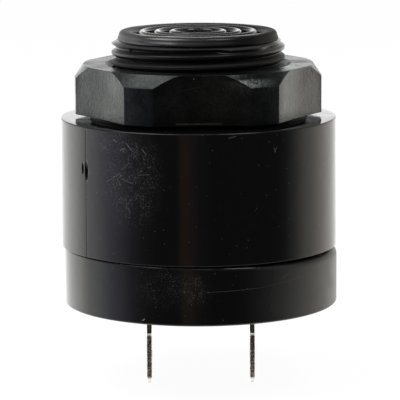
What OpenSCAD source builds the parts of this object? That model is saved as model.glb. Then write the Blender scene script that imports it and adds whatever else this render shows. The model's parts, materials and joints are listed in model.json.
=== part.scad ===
// Panel-mount piezo alarm: a round plastic housing with a threaded neck, a hex nut,
// a sealing gasket, a plug-in base cap with two push-on tabs, and the sounder inside.
// Millimetres. Origin: centre of the panel seat, the flat shoulder round the neck.
// +Z runs up the neck; the tabs point down.

/* [Body] */
// Outer diameter of the housing at the panel seat
body_d = 43.7; // [41:0.1:52]
// How far the housing's side leans out towards its open end, on the radius
body_draft = 0.1; // [0:0.02:0.2]
// Height of the housing below the panel seat
body_h = 20.3; // [19:0.1:26]
// Thickness of the housing's side wall at the panel seat
body_wall = 2; // [1.4:0.1:2.2]
// Thickness of the shoulder that seats on the panel
roof_t = 2.2; // [1.5:0.1:3]
// Small bevel round the shoulder's outer edge
body_edge = 0.3; // [0.1:0.05:0.6]

/* [Neck] */
// Outer diameter of the neck's thread
thread_d = 27.4; // [26.8:0.1:30]
// Height of the threaded length above the panel seat
thread_h = 11.6; // [10:0.1:16]
// Height of the cone between the thread and the plain rim
run_out_h = 0.5; // [0.3:0.1:1]
// How far the plain rim steps in from the thread, on the radius
rim_inset = 1.2; // [0.4:0.1:1.5]
// Height of the plain rim above the run-out
rim_h = 1.5; // [1.3:0.1:3]
// Wall of the rim, rounded over at the top
rim_wall = 2.1; // [1.6:0.1:2.4]

/* [Grille] */
// Number of round ribs across the mouth
ring_count = 3; // [1:1:3]
// Middle diameter of the smallest rib
first_ring_d = 8.1; // [7.4:0.1:8.4]
// Step from one rib to the next, measured on the radius
ring_pitch = 2.38; // [2:0.02:2.5]
// Thickness of a rib
ring_t = 1.06; // [0.7:0.02:1.2]
// Height of a rib
ring_h = 1.9; // [1.5:0.1:2.4]
// Diameter of the boss in the middle
boss_d = 3.2; // [2:0.1:4]
// Number of spokes under the ribs
spoke_count = 4; // [3:1:8]
// Width of a spoke
spoke_w = 1.4; // [0.8:0.1:2]
// Height of a spoke
spoke_h = 1; // [0.6:0.1:1.4]

/* [Nut] */
// Width across the nut's flats
nut_af = 36; // [34:0.1:42]
// How far the turned corners stand out past the flats, on the radius
nut_corner_out = 1.5; // [0.8:0.05:2.5]
// Height of the nut
nut_h = 7.75; // [5:0.05:9]
// How far the top face stands out past the flats, where the corner bevel ends
nut_top_out = 0.15; // [0.05:0.05:0.7]
// Height of the corner bevel
nut_bevel_h = 2; // [0.6:0.1:3]
// Width of the bevelled mouth at each end of the nut's bore
nut_mouth_w = 0.95; // [0.3:0.05:1.5]
// Depth of that mouth
nut_mouth_h = 0.9; // [0.4:0.1:1.6]
// Angle that the nut is turned to
nut_turn = 1.9; // [0:0.1:60]
// Radial play between the nut and the thread
thread_play = 0.06; // [0.03:0.01:0.1]

/* [Gasket] */
// Width of the sealing gasket's ring
gasket_w = 3.2; // [1.5:0.1:4.5]
// Thickness of the gasket under the nut
gasket_t = 0.65; // [0.5:0.05:2]
// Radial play between the gasket and the neck
gasket_play = 0.25; // [0.1:0.05:0.4]
// Width of the bevel round the gasket's top edge
gasket_bevel_w = 0.35; // [0.1:0.05:0.6]
// Height of that bevel
gasket_bevel_h = 0.42; // [0.1:0.02:0.45]

/* [Base cap] */
// How far the base cap's side stands in from the housing's open end, on the radius
base_inset = 0.2; // [0:0.02:0.5]
// Height of the base cap that shows under the housing
base_h = 9.2; // [8.4:0.1:14]
// Gap of the seam between the housing and the base cap
seam_gap = 0.12; // [0.05:0.01:0.3]
// How far the base cap sits off centre, to +X
base_shift = 0.2; // [0:0.02:0.24]
// Thickness of the base cap's side wall
base_wall = 2; // [1.5:0.1:2.4]
// Thickness of the base cap's floor
floor_t = 2.4; // [1.5:0.1:3]
// Bevel round the base cap's lower edge
base_edge = 0.3; // [0.1:0.05:0.8]
// How far the spigot reaches up into the housing
spigot_h = 3; // [2:0.1:4]
// Wall of the spigot
spigot_wall = 1.3; // [1:0.1:1.6]
// Radial play of the spigot in the housing
spigot_play = 0.35; // [0.3:0.01:0.5]
// Height of the band that joins the spigot to the base cap's wall
spigot_root_h = 2; // [1.5:0.1:3]
// Diameter of the posts that carry the circuit board
post_d = 3.4; // [2.5:0.1:4]
// Height of those posts above the floor
post_h = 5.2; // [4.6:0.1:6.2]

/* [Terminals] */
// Distance between the two tabs
tab_spacing = 16.45; // [14:0.05:18]
// Thickness of the tab metal
tab_t = 0.8; // [0.5:0.05:1]
// Width of the push-on blade
blade_w = 6.35; // [4.8:0.05:6.5]
// Length of the push-on blade
blade_l = 8; // [6:0.1:9]
// Width of the stem between the base and the blade
stem_w = 3.8; // [3:0.1:4.4]
// Length of the stem below the base
stem_l = 5.25; // [2:0.05:8]
// Length of the stem inside the base, above the floor
stem_inside = 1.6; // [0.8:0.1:2.4]
// Corner bevel at the blade's tip
tip_corner = 1; // [0.4:0.1:1.6]
// Length of the thinned lead-in at the blade's tip
lead_in_l = 1.1; // [0.5:0.1:2]
// Depth of that lead-in on each side
lead_in_t = 0.15; // [0.05:0.01:0.2]
// Diameter of the latch hole in the blade
latch_hole_d = 1.7; // [1.2:0.1:2.2]
// Distance from the blade's tip to the latch hole
latch_hole_up = 4; // [3:0.1:4.6]
// Width of the pin that goes through the circuit board
pin_w = 1.4; // [1:0.1:1.8]
// Clearance round the metal in its slots
slot_play = 0.05; // [0.02:0.01:0.1]

/* [Sounder] */
// Thickness of the port plate under the neck
plate_t = 1.4; // [1:0.1:2]
// Radial play of the port plate in the housing
plate_play = 0.2; // [0.1:0.05:0.4]
// Diameter of the sound port
port_d = 7; // [3:0.5:12]
// How far the ring that carries the brass disc stands in from the disc's edge
seat_inset = 0.7; // [0.2:0.1:1.5]
// Width of that ring
seat_w = 1.4; // [1:0.1:2]
// Height of that ring
seat_h = 1.8; // [1:0.1:2.4]
// Thickness of the bond between the ring and the disc
bond_t = 0.25; // [0.1:0.05:0.5]
// Room round the brass disc inside the housing, on the radius
disc_room = 2.3; // [0.5:0.1:3]
// Thickness of the brass disc
disc_t = 0.3; // [0.2:0.05:0.5]
// How far the ceramic disc stands in from the brass disc's edge
ceramic_inset = 5; // [4:0.1:7]
// Thickness of the ceramic disc
ceramic_t = 0.25; // [0.15:0.05:0.4]

/* [Circuit] */
// Thickness of the circuit board
board_t = 1.6; // [1:0.1:1.6]
// Radial play of the circuit board in the spigot
board_play = 0.15; // [0.1:0.05:0.3]
// Diameter of a component lead
lead_d = 0.6; // [0.4:0.05:0.7]
// Radial play of a lead in its hole in the board
hole_play = 0.15; // [0.08:0.01:0.2]
// How far the leads stand out under the board
lead_tail = 1.3; // [1:0.1:2]
// Diameter of the coil's core
coil_d = 9.2; // [6:0.1:9.6]
// Height of the coil's core
coil_h = 8; // [5:0.1:8.4]
// Diameter of the coil's hub, inside the winding
coil_hub_d = 3.6; // [2.5:0.1:5]
// Thickness of the core's two flanges
coil_flange_t = 1; // [0.6:0.1:1.5]
// How far the winding stands in from the flanges' edge
winding_inset = 0.5; // [0.2:0.1:1]
// Clearance round the winding
winding_play = 0.05; // [0.02:0.01:0.1]
// Diameter of the filter capacitor
can_d = 6.3; // [5:0.1:6.8]
// Height of the filter capacitor
can_h = 7.2; // [5:0.1:8.4]
// Outer diameter of the sounder's wires
wire_d = 1; // [0.7:0.05:1.2]

/* [Hidden] */
$fn = 96;
small_fn = 24;
solder_fn = 32;
cut = 0.02;

// Levels, from the rim down
rim_top = thread_h + run_out_h + rim_h;
plate_top = -roof_t;
seat_top = plate_top - plate_t;
bond_top = seat_top - seat_h;
disc_top = bond_top - bond_t;
ceramic_top = disc_top - disc_t;
ceramic_bottom = ceramic_top - ceramic_t;
base_top = -body_h - seam_gap;
base_bottom = base_top - base_h;
floor_top = base_bottom + floor_t;
board_bottom = floor_top + post_h;
board_top = board_bottom + board_t;
blade_top = base_bottom - stem_l;
tip_bottom = blade_top - blade_l;

// Radii that several pieces share
body_r = body_d / 2;
body_open_r = body_r + body_draft;
body_in_r = body_r - body_wall;
thread_r = thread_d / 2;
rim_r = thread_r - rim_inset;
neck_bore_r = rim_r - rim_wall;
base_r = body_open_r - base_inset;
spigot_r = body_in_r - spigot_play;
spigot_in_r = spigot_r - spigot_wall;
board_r = spigot_in_r - board_play;
post_ring_r = board_r - post_d / 2;
post_count = 4;
post_start = 45;
hole_r = lead_d / 2 + hole_play;
tab_x = tab_spacing / 2;
disc_r = body_in_r - disc_room;
ceramic_r = disc_r - ceramic_inset;
seat_r = disc_r - seat_inset;

// Where the components stand on the board, measured from the board's centre
coil_at = [0, 8];
can_at = [8.2, 5.6];
disc_cap_at = [-8.6, 6.2];
transistor_at = [0, 0];
diode_at = [0, -4.6];
resistor_1_at = [0, -8];
resistor_2_at = [0, -11.2];
resistor_3_at = [-8.8, -4.9];

// Lead positions of each component, measured from where it stands
coil_leads = [[-2.5, 0], [2.5, 0], [0, 2.5]];
can_leads = [[-1.25, 0], [1.25, 0]];
disc_cap_leads = [[-2.5, 0], [2.5, 0]];
transistor_leads = [[-1.27, 0], [0, 0], [1.27, 0]];
diode_leads = [[-4.5, 0], [4.5, 0]];
lying_leads = [[-5, 0], [5, 0]];
standing_leads = [[0, 1.25], [0, -1.25]];

function placed(leads, at) = [for (p = leads) p + at];
all_leads = concat(
    placed(coil_leads, coil_at),
    placed(can_leads, can_at),
    placed(disc_cap_leads, disc_cap_at),
    placed(transistor_leads, transistor_at),
    placed(diode_leads, diode_at),
    placed(lying_leads, resistor_1_at),
    placed(lying_leads, resistor_2_at),
    placed(standing_leads, resistor_3_at)
);

// Bodies of the axial components: radius, length and height of the lying axis above the board
resistor_size = [1.15, 6.2, 1.4];
diode_size = [1.35, 5.2, 1.6];
// A standing one: gap under its body, and height of its lead's loop above it
standing_foot = 0.4;
standing_loop = 0.9;

// Solder: radius at the metal or board, radius at the tip, height
disc_solder = [1.2, 0.8, 0.6];
pad_solder = [1.1, 0.7, 0.5];
lead_solder = [0.9, 0.5, 0.8];
pin_solder = [1.6, 1.1, 0.5];
solder_play = 0.02;

// Each wire: place on the disc, place on the board, sideways slack
joint_inset = 2.8;
red_route = [polar(ceramic_r - joint_inset, -47), [8.6, -4.2], [1.6, 1.4]];
black_route = [polar((ceramic_r + disc_r) / 2, -31), [11, -6.8], [0.8, -1.2]];
blue_route = [polar(ceramic_r - joint_inset, -69), [8.2, -8], [-1.2, -2]];
wire_reach = 6;
wire_steps = 20;
wire_sides = 8;

function polar(r, a) = r * [cos(a), sin(a)];

// Points of a round stretch of outline, about centre c
function arc(c, r, from, to, n) =
    [for (i = [0:n]) c + polar(r, from + (to - from) * i / n)];

// A plain ring between two heights
module ring(r_out, r_in, z0, z1) {
    difference() {
        translate([0, 0, z0])
            cylinder(h = z1 - z0, r = r_out);
        translate([0, 0, z0 - cut])
            cylinder(h = z1 - z0 + 2 * cut, r = r_in);
    }
}

// The housing's turned section: side wall, shoulder, neck and rounded rim
module housing_shell() {
    round_r = rim_wall / 2;
    rotate_extrude()
        polygon(concat(
            [[body_r - body_edge, 0], [body_r, -body_edge], [body_open_r, -body_h],
             [body_in_r, -body_h], [body_in_r, -roof_t], [neck_bore_r, -roof_t]],
            arc([rim_r - round_r, rim_top - round_r], round_r, 180, 0, 10),
            [[rim_r, thread_h + run_out_h], [thread_r, thread_h], [thread_r, 0]]
        ));
}

// Round-topped ribs, a boss and the spokes that carry them
module grille() {
    ring_bottom = rim_top - ring_h;
    half_t = ring_t / 2;
    for (i = [0:ring_count - 1])
        rotate_extrude()
            translate([first_ring_d / 2 + i * ring_pitch, 0])
                polygon(concat(
                    [[half_t, ring_bottom]],
                    arc([0, rim_top - half_t], half_t, 0, 180, 6),
                    [[-half_t, ring_bottom]]
                ));
    rotate_extrude()
        polygon(concat(
            [[0, ring_bottom], [boss_d / 2, ring_bottom]],
            arc([boss_d / 2 - half_t, rim_top - half_t], half_t, 0, 90, 3),
            [[0, rim_top]]
        ));
    for (i = [0:spoke_count - 1])
        rotate([0, 0, (i + 0.5) * 360 / spoke_count])
            translate([0, -spoke_w / 2, ring_bottom])
                cube([neck_bore_r + rim_wall / 2, spoke_w, spoke_h]);
}

module housing() {
    color("#1b1b1c") {
        housing_shell();
        grille();
    }
}

module hex_nut() {
    bore_r = thread_r + thread_play;
    mouth_r = bore_r + nut_mouth_w;
    flat_r = nut_af / 2;
    color("#242425")
        translate([0, 0, gasket_t])
            difference() {
                intersection() {
                    rotate([0, 0, nut_turn])
                        cylinder(h = nut_h, r = flat_r / cos(30), $fn = 6);
                    rotate_extrude()
                        polygon([[0, 0], [flat_r + nut_corner_out, 0],
                                 [flat_r + nut_corner_out, nut_h - nut_bevel_h],
                                 [flat_r + nut_top_out, nut_h], [0, nut_h]]);
                }
                translate([0, 0, -cut])
                    cylinder(h = nut_h + 2 * cut, r = bore_r);
                translate([0, 0, nut_h - nut_mouth_h])
                    cylinder(h = nut_mouth_h, r1 = bore_r, r2 = mouth_r);
                cylinder(h = nut_mouth_h, r1 = mouth_r, r2 = bore_r);
            }
}

module panel_gasket() {
    hole_edge_r = thread_r + gasket_play;
    gasket_r = hole_edge_r + gasket_w;
    color("#0d0d0d")
        rotate_extrude()
            polygon([[hole_edge_r, 0], [gasket_r, 0],
                     [gasket_r, gasket_t - gasket_bevel_h],
                     [gasket_r - gasket_bevel_w, gasket_t], [hole_edge_r, gasket_t]]);
}

// Everything that is carried by the base cap is drawn about the base's own centre
module on_base() {
    translate([base_shift, 0, 0])
        children();
}

module base_cap() {
    base_in_r = base_r - base_wall;
    color("#1b1b1c")
        on_base()
            difference() {
                union() {
                    rotate_extrude()
                        polygon([[0, base_bottom], [base_r - base_edge, base_bottom],
                                 [base_r, base_bottom + base_edge], [base_r, base_top],
                                 [spigot_r, base_top], [spigot_r, base_top + spigot_h],
                                 [spigot_in_r, base_top + spigot_h],
                                 [spigot_in_r, base_top - spigot_root_h],
                                 [base_in_r, base_top - spigot_root_h],
                                 [base_in_r, floor_top], [0, floor_top]]);
                    for (i = [0:post_count - 1])
                        rotate([0, 0, post_start + i * 360 / post_count])
                            translate([post_ring_r, 0, floor_top - cut])
                                cylinder(h = post_h + cut, r = post_d / 2);
                }
                for (side = [-1, 1])
                    translate([side * tab_x, 0, base_bottom + floor_t / 2])
                        cube([tab_t + 2 * slot_play, stem_w + 2 * slot_play, floor_t + 2 * cut],
                             center = true);
            }
}

// Outline of a terminal seen from the side: pin, stem and blade with a bevelled tip
module terminal_outline() {
    top = board_top + lead_solder[2];
    stem_top = floor_top + stem_inside;
    right = [
        [pin_w / 2, top], [pin_w / 2, stem_top], [stem_w / 2, stem_top],
        [stem_w / 2, blade_top], [blade_w / 2, blade_top],
        [blade_w / 2, tip_bottom + tip_corner], [blade_w / 2 - tip_corner, tip_bottom]
    ];
    left = [for (i = [len(right) - 1:-1:0]) [-right[i][0], right[i][1]]];
    polygon(concat(right, left));
}

module terminal(side) {
    top = board_top + lead_solder[2];
    color("#b8b4aa")
        on_base()
            translate([side * tab_x, 0, 0])
                difference() {
                    intersection() {
                        rotate([90, 0, 90])
                            translate([0, 0, -tab_t / 2])
                                linear_extrude(tab_t)
                                    terminal_outline();
                        rotate([90, 0, 0])
                            translate([0, 0, -blade_w])
                                linear_extrude(2 * blade_w)
                                    polygon([[-tab_t / 2, top], [tab_t / 2, top],
                                             [tab_t / 2, tip_bottom + lead_in_l],
                                             [tab_t / 2 - lead_in_t, tip_bottom],
                                             [-tab_t / 2 + lead_in_t, tip_bottom],
                                             [-tab_t / 2, tip_bottom + lead_in_l]]);
                    }
                    translate([0, 0, tip_bottom + latch_hole_up])
                        rotate([0, 90, 0])
                            cylinder(h = 2 * tab_t, r = latch_hole_d / 2, center = true);
                }
}

module terminal_left() {
    terminal(-1);
}

module terminal_right() {
    terminal(1);
}

module port_plate() {
    color("#2a2a2c") {
        ring(body_in_r - plate_play, port_d / 2, seat_top, plate_top);
        ring(seat_r, seat_r - seat_w, bond_top, seat_top + cut);
    }
}

module bond_ring() {
    color("#d9d9d4")
        ring(seat_r, seat_r - seat_w, disc_top, bond_top);
}

module brass_disc() {
    color("#c9a24a")
        translate([0, 0, ceramic_top])
            cylinder(h = disc_t, r = disc_r);
}

module ceramic_disc() {
    color("#d8d6cc")
        translate([0, 0, ceramic_bottom])
            cylinder(h = ceramic_t, r = ceramic_r);
}

module circuit_board() {
    color("#2f6b3a")
        on_base()
            difference() {
                translate([0, 0, board_bottom])
                    cylinder(h = board_t, r = board_r);
                for (p = all_leads)
                    translate([p[0], p[1], board_bottom - cut])
                        cylinder(h = board_t + 2 * cut, r = hole_r, $fn = small_fn);
                for (side = [-1, 1])
                    translate([side * tab_x, 0, board_bottom + board_t / 2])
                        cube([tab_t + 2 * slot_play, pin_w + 2 * slot_play, board_t + 2 * cut],
                             center = true);
            }
}

// A straight lead from a height down through the board
module lead(p, from_z) {
    bottom = board_bottom - lead_tail;
    translate([p[0], p[1], bottom])
        cylinder(h = from_z - bottom, r = lead_d / 2, $fn = small_fn);
}

module coil_core() {
    color("#3a3a3d")
        on_base() {
            translate([coil_at[0], coil_at[1], board_top]) {
                cylinder(h = coil_flange_t, r = coil_d / 2);
                cylinder(h = coil_h, r = coil_hub_d / 2);
                translate([0, 0, coil_h - coil_flange_t])
                    cylinder(h = coil_flange_t, r = coil_d / 2);
            }
            for (p = placed(coil_leads, coil_at))
                lead(p, board_top + cut);
        }
}

module coil_winding() {
    color("#a8541f")
        on_base()
            translate([coil_at[0], coil_at[1], 0])
                ring(coil_d / 2 - winding_inset, coil_hub_d / 2 + winding_play,
                     board_top + coil_flange_t + winding_play,
                     board_top + coil_h - coil_flange_t - winding_play);
}

module filter_capacitor() {
    crimp_up = 1.2;
    crimp_in = 0.25;
    can_r = can_d / 2;
    color("#20304f")
        on_base() {
            translate([can_at[0], can_at[1], board_top])
                rotate_extrude()
                    polygon([[0, 0], [can_r, 0], [can_r, crimp_up - crimp_in],
                             [can_r - crimp_in, crimp_up], [can_r, crimp_up + crimp_in],
                             [can_r, can_h - crimp_in], [can_r - crimp_in, can_h], [0, can_h]]);
            for (p = placed(can_leads, can_at))
                lead(p, board_top + cut);
        }
}

module disc_capacitor() {
    coat_r = 2.9;
    thick = 2.2;
    up = 3.6;
    color("#b5742c")
        on_base() {
            translate([disc_cap_at[0], disc_cap_at[1], board_top + up])
                rotate([90, 0, 0])
                    cylinder(h = thick, r = coat_r, center = true);
            for (p = placed(disc_cap_leads, disc_cap_at))
                lead(p, board_top + up);
        }
}

module transistor() {
    case_r = 2.4;
    case_h = 4.8;
    flat_at = 1.3;
    up = 2.4;
    lead_in_case = 1;
    color("#1a1a1a")
        on_base() {
            translate([transistor_at[0], transistor_at[1], board_top + up])
                intersection() {
                    cylinder(h = case_h, r = case_r);
                    translate([-case_r, -flat_at, 0])
                        cube([2 * case_r, 2 * case_r, case_h]);
                }
            for (p = placed(transistor_leads, transistor_at))
                lead(p, board_top + up + lead_in_case);
        }
}

// A lying component: size is [body radius, body length, axis height above the board]
module lying_part(size, leads) {
    span = leads[1][0] - leads[0][0];
    axis_z = board_top + size[2];
    translate([-size[1] / 2, 0, axis_z])
        rotate([0, 90, 0])
            cylinder(h = size[1], r = size[0], $fn = 2 * small_fn);
    translate([-span / 2, 0, axis_z])
        rotate([0, 90, 0])
            cylinder(h = span, r = lead_d / 2, $fn = small_fn);
    for (p = leads)
        lead(p, axis_z + lead_d / 2);
}

// A standing component: the far lead comes back down beside the body
module standing_part(size, leads) {
    span = leads[0][1] - leads[1][1];
    loop_z = board_top + standing_foot + size[1] + standing_loop;
    translate([leads[0][0], leads[0][1], board_top + standing_foot])
        cylinder(h = size[1], r = size[0], $fn = 2 * small_fn);
    translate([leads[0][0], leads[0][1], loop_z])
        rotate([90, 0, 0])
            cylinder(h = span, r = lead_d / 2, $fn = small_fn);
    for (p = leads)
        lead(p, loop_z + lead_d / 2);
}

module diode() {
    color("#161616")
        on_base()
            translate([diode_at[0], diode_at[1], 0])
                lying_part(diode_size, diode_leads);
}

module lying_resistor(at) {
    color("#b08d57")
        on_base()
            translate([at[0], at[1], 0])
                lying_part(resistor_size, lying_leads);
}

module resistor_3() {
    color("#b08d57")
        on_base()
            translate([resistor_3_at[0], resistor_3_at[1], 0])
                standing_part(resistor_size, standing_leads);
}

// Path of a wire: straight off the disc, slack in the middle, straight onto the board
function wire_point(a, b, slack, t) =
    pow(1 - t, 3) * a + 3 * pow(1 - t, 2) * t * (a + [slack[0], slack[1], -wire_reach])
    + 3 * (1 - t) * t * t * (b + [slack[0], slack[1], wire_reach]) + t * t * t * b;
function unit(v) = v / norm(v);
function wire_tangent(a, b, slack, t) =
    let (h = 0.001, p = wire_point(a, b, slack, min(t + h, 1)), q = wire_point(a, b, slack, max(t - h, 0)))
    (t == 0 || t == 1) ? [0, 0, -1] : unit(p - q);
function wire_ring(centre, along) =
    let (side = unit(cross(along, [0, 1, 0])), other = cross(along, side))
    [for (k = [0:wire_sides - 1])
        centre + wire_d / 2 * (cos(k * 360 / wire_sides) * side + sin(k * 360 / wire_sides) * other)];

module wire(route, disc_z) {
    a = [route[0][0], route[0][1], disc_z - disc_solder[2]];
    b = [route[1][0] + base_shift, route[1][1], board_top + pad_solder[2]];
    rings = [for (i = [0:wire_steps])
        each wire_ring(wire_point(a, b, route[2], i / wire_steps),
                       wire_tangent(a, b, route[2], i / wire_steps))];
    last = wire_steps * wire_sides;
    sides = [for (i = [0:wire_steps - 1], k = [0:wire_sides - 1])
        let (n = (k + 1) % wire_sides, low = i * wire_sides, high = low + wire_sides)
        [low + k, high + k, high + n, low + n]];
    start = [[for (k = [0:wire_sides - 1]) k]];
    end = [[for (k = [wire_sides - 1:-1:0]) last + k]];
    polyhedron(points = rings, faces = concat(start, sides, end));
}

module wire_red() {
    color("#b02020")
        wire(red_route, ceramic_bottom);
}

module wire_black() {
    color("#151515")
        wire(black_route, ceramic_top);
}

module wire_blue() {
    color("#2450a0")
        wire(blue_route, ceramic_bottom);
}

// A low cone of solder; size is [wide radius, narrow radius, height], drawn upwards
module solder_cone(size) {
    cylinder(h = size[2], r1 = size[0], r2 = size[1], $fn = solder_fn);
}

module solder_joints() {
    color("#c4c6c8") {
        for (spot = [[red_route[0], ceramic_bottom], [black_route[0], ceramic_top],
                     [blue_route[0], ceramic_bottom]])
            translate([spot[0][0], spot[0][1], spot[1]])
                mirror([0, 0, 1])
                    solder_cone(disc_solder);
        on_base() {
            for (route = [red_route, black_route, blue_route])
                translate([route[1][0], route[1][1], board_top])
                    solder_cone(pad_solder);
            for (p = all_leads)
                translate([p[0], p[1], board_bottom])
                    mirror([0, 0, 1])
                        difference() {
                            solder_cone(lead_solder);
                            translate([0, 0, -cut])
                                cylinder(h = lead_solder[2] + 2 * cut, r = lead_d / 2 + solder_play,
                                         $fn = small_fn);
                        }
            for (side = [-1, 1])
                translate([side * tab_x, 0, board_top])
                    difference() {
                        solder_cone(pin_solder);
                        cube([tab_t + 2 * solder_play, pin_w + 2 * solder_play, 4 * pin_solder[2]],
                             center = true);
                    }
        }
    }
}

housing();
hex_nut();
panel_gasket();
base_cap();
terminal_left();
terminal_right();
port_plate();
bond_ring();
brass_disc();
ceramic_disc();
circuit_board();
coil_core();
coil_winding();
filter_capacitor();
disc_capacitor();
transistor();
diode();
lying_resistor(resistor_1_at);  // resistor_1
lying_resistor(resistor_2_at);  // resistor_2
resistor_3();
wire_red();
wire_black();
wire_blue();
solder_joints();
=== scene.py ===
"""Looks of the panel-mount piezo buzzer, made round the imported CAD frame.

Lengths in the making are millimetres in the frame's own axes; meshes are written in metres.
"""
import json
import math
from math import cos, pi, radians, sin

import bpy
from mathutils import Matrix, Vector


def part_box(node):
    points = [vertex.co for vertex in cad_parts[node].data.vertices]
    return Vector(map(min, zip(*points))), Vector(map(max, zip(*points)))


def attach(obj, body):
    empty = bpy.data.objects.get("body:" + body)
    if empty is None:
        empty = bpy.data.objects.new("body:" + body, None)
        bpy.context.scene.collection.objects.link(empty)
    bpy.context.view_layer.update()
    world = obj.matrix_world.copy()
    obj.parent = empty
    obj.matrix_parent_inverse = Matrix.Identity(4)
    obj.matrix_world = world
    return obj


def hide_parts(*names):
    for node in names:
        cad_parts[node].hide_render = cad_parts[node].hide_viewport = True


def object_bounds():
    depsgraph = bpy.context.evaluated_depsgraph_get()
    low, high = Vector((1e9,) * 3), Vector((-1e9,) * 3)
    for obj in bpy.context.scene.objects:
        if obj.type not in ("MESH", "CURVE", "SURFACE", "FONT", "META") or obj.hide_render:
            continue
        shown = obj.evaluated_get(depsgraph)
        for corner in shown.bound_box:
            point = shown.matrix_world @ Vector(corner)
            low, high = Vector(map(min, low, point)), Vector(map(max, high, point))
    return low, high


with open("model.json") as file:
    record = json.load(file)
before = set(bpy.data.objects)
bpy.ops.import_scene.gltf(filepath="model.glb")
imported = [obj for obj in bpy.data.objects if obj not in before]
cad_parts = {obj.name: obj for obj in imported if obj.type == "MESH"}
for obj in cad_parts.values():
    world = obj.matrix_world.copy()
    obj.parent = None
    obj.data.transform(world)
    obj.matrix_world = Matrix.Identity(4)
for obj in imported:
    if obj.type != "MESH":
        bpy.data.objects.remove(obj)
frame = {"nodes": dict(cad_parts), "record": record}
cad_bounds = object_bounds()
scene = bpy.context.scene
scene.view_settings.view_transform = "Standard"

MM = 0.001


def box_mm(node):
    """Lowest and highest corners of a CAD node, in millimetres."""
    low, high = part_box(node)
    return Vector(low) / MM, Vector(high) / MM


# ---- sizes from the frame
housing_low, housing_high = box_mm("housing")
nut_low, nut_high = box_mm("hex_nut")
gasket_low, gasket_high = box_mm("panel_gasket")
base_low, base_high = box_mm("base_cap")
board_low, board_high = box_mm("circuit_board")
tab_low = box_mm("terminal_left")[0]
plate_high = box_mm("port_plate")[1]

BODY_R = housing_high.x
BODY_BOTTOM = housing_low.z
BASE_R = (base_high.x - base_low.x) / 2
BASE_X = (base_high.x + base_low.x) / 2
BASE_BOTTOM = base_low.z
NECK_TOP = housing_high.z
ROOF = plate_high.z
BODY_IN_R = plate_high.x + 0.2  # the port plate fits in with this much play

# ---- sizes of the details
THREAD_R = 13.7  # crest of the neck's thread
THREAD_DEPTH = 0.86
PITCH = 1.5875  # sixteen threads to the inch
CREST_Z = 10.19  # height of one crest at azimuth 180 degrees
THREAD_TOP = 11.65  # where the thread's blank starts to narrow
BLANK_SLOPE = 1.9  # how fast it narrows from there
THREAD_FOOT = 0.15  # where the thread starts to rise from its root
FLANK = 0.74  # a flank's share of half a pitch
RUN_OUT = 304  # azimuth in degrees where the topmost groove runs out
RUN_OUT_Z = 11.0  # only what lies above this height runs out
RUN_OUT_HALF = 18  # degrees from there to where the groove is half filled
RUN_OUT_FILL = 0.93  # how full the groove is at its end
MOULD_STEP = 0.035  # one half of the mould stands this much further in
WEB_HEIGHT = 0.34  # flash that crosses the grooves on a parting line
WEB_HALF = 0.2
WEB_SLANT = 0.5
WEB_Z = CREST_Z + 0.8  # where the slanted web meets the parting line
THREAD_ROW = 0.075  # height of a row of the neck's mesh
RIM_R = 12.5
RIM_WIDTH = 2.1
RIM_EDGE = 0.72  # rounding of the rim's outer edge
RIM_INSIDE = 0.9  # rounding of the rim towards its bore
RIM_FOOT = 12.0  # height where the rim rises from the thread's blank
GRILLE_H = 1.9  # how far down from the rim's top the ribs, the boss and the bars reach
RIB_RADII = (4.05, 6.43, 8.81)
RIB_HALF = 0.53
BOSS_R = 1.6
BOSS_SUNK = 0.45  # the boss ends this much below the rim
BOSS_EDGE = 0.6
BAR_WIDTH = 1.4
BAR_FROM, BAR_TO = 0.8, 10.9  # the bars' ends from the axis
BAR_SUNK = 0.9  # their tops lie this much below the rim
BODY_DRAFT = 0.1  # the side leans out this much towards its open end
SHOULDER_ROWS = (20.6, 19.0, 17.0, 15.0)  # radii of the flat shoulder's rows
BASE_SEAM = BODY_BOTTOM - 0.12  # top of the base cap's outer wall
SEAM_OPEN = 0.4  # the seam stands open this much more at its right side
BASE_FLOOR = 2.4
SPIGOT_GAP = 0.35  # between the base cap's spigot and the housing's wall
SPIGOT_WALL = 1.3
POST_R = 1.7

NUT_FLAT = 18.0
NUT_CORNER = 19.5
NUT_TOP_R = 18.15
NUT_BEVEL_H = 2.0
NUT_TURN = radians(1.9)
NUT_BORE = 13.76
NUT_GROOVE = 0.5  # depth of the nut's thread
NUT_MOUTH = 0.95  # the bore's two mouths reach this much further out
NUT_MOUTH_H = 0.9  # and this far in
NUT_SINK = 0.2  # how far the middle of a flat has sunk in the mould
NUT_EDGE = 0.11
GASKET_BORE = 13.95
PARTING = (radians(216.2), radians(36.2))  # azimuths of the mould's parting line on the neck
WALL_PARTING = tuple(line + radians(1.4) for line in PARTING)  # and on the side wall
PARTING_DEPTH = 0.045
PARTING_HALF = 0.13
GATE_Z = -6.7  # middle of the gate mark on the parting line
# dents of the gate mark: arc length from the parting line, drop below GATE_Z, half width, half height, depth
GATE_DENTS = ((0.12, 0.1, 0.48, 1.75, 0.42), (-0.85, -0.2, 0.34, 1.15, 0.22))
TAB_EDGE = 0.1  # rounding of a tab's long edges
BLADE_TOP = 8.35  # height of the blade's shoulders over its tip
STOP_OUT = 0.2  # how far a shoulder stands out past the blade's edge
STOP_FLAT = 0.1  # height of a shoulder's upright end
STOP_SLOPE = 0.42  # height of the slope under it
STEM_HALF = 1.9
PIN_HALF = 0.7  # the pin goes on from the stem through the circuit board
STEM_REACH = 1.6  # how far the stem stands up inside, over the base cap's floor
LATCH_R = 0.85
LATCH_Z = 4.0  # height of the latch hole over the tip
TIP_BEVEL = 1.0
TIP_THIN_H = 1.1  # the blade thins from this height to its tip
TIP_THIN = 0.15  # by this much on each face


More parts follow.
